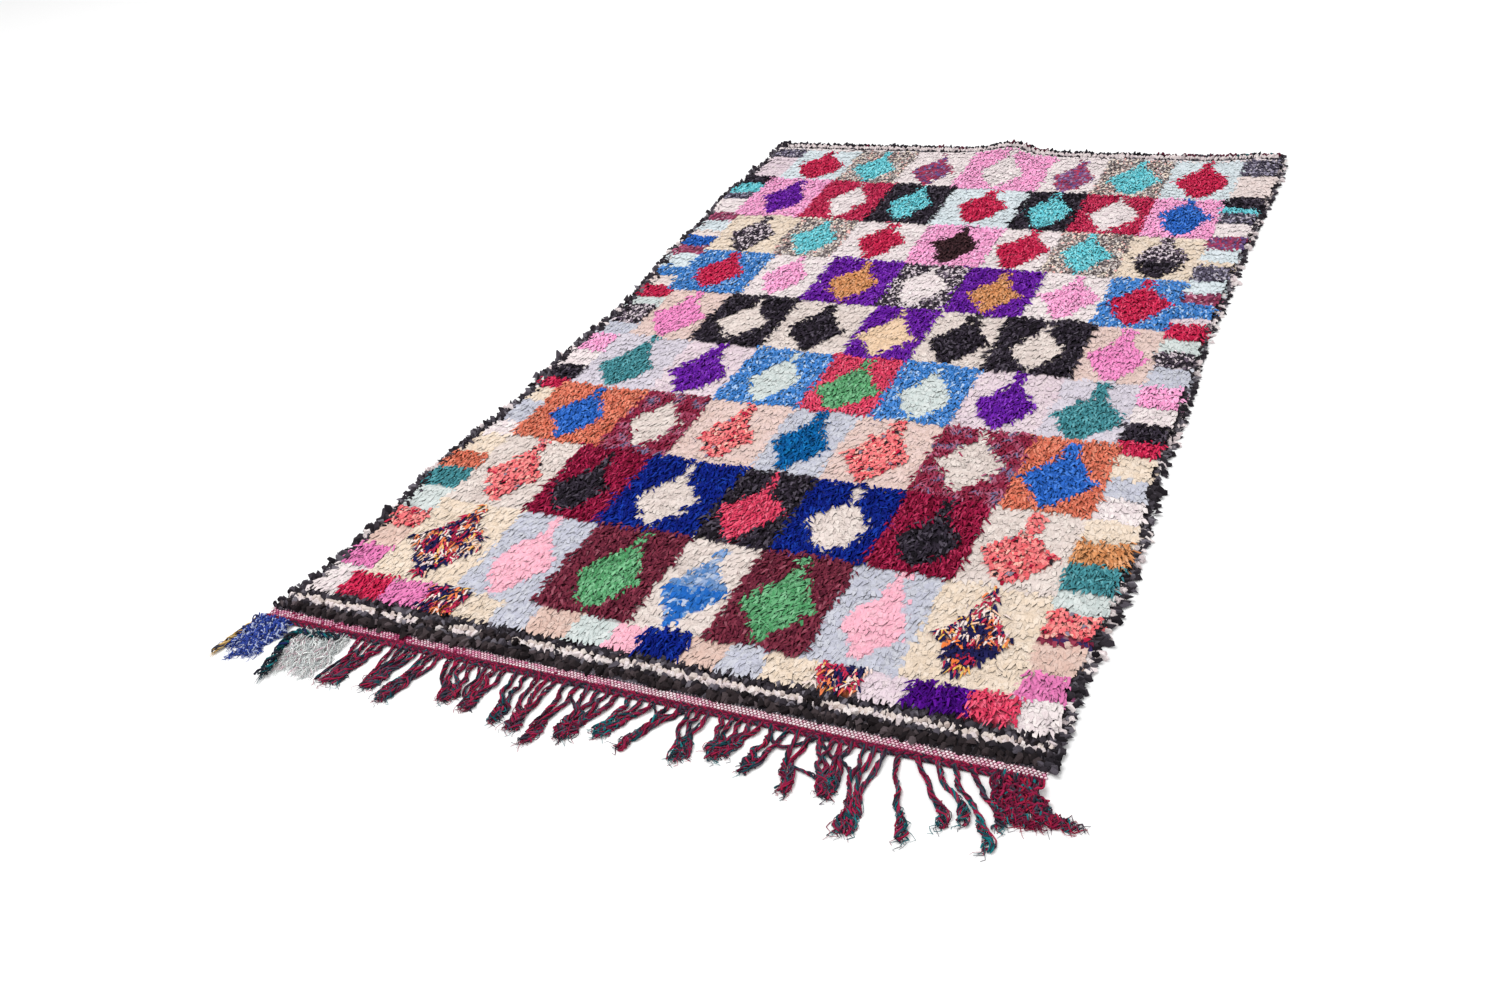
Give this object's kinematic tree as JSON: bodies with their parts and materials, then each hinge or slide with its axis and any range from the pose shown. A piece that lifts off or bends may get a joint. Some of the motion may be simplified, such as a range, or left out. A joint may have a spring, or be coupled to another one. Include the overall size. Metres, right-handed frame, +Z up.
{
  "type": "boucherouite rug",
  "caption": "Shaggy hand-knotted rag rug with a patchwork of lozenges, ragged overcast sides, a flat-woven end and a yarn fringe, lying flat on the floor.",
  "frame": {"origin": "on the floor, under the middle of the whole rug, fringe included", "axes": "+X across the rug, +Y along it from the fringed end to the plain end, +Z up out of the pile"},
  "size_m": [1.5639, 2.6178, 0.0322],
  "materials": {
    "pile_cloth": "matt cotton rag pile in many colours",
    "selvedge": "matt black and white rags",
    "kilim": "matt flat-woven cotton and wool",
    "blue_yarn": "matt loose yarn",
    "white_yarn": "matt loose yarn",
    "red_yarn": "matt loose yarn"
  },
  "bodies": {
    "root": {"pile_cloth": "pile_cloth", "selvedge_left": "selvedge", "selvedge_right": "selvedge", "kilim_end": "kilim", "tassel_blue": "blue_yarn", "tassel_white": "white_yarn", "tassel_red": "red_yarn"}
  },
  "joints": []
}
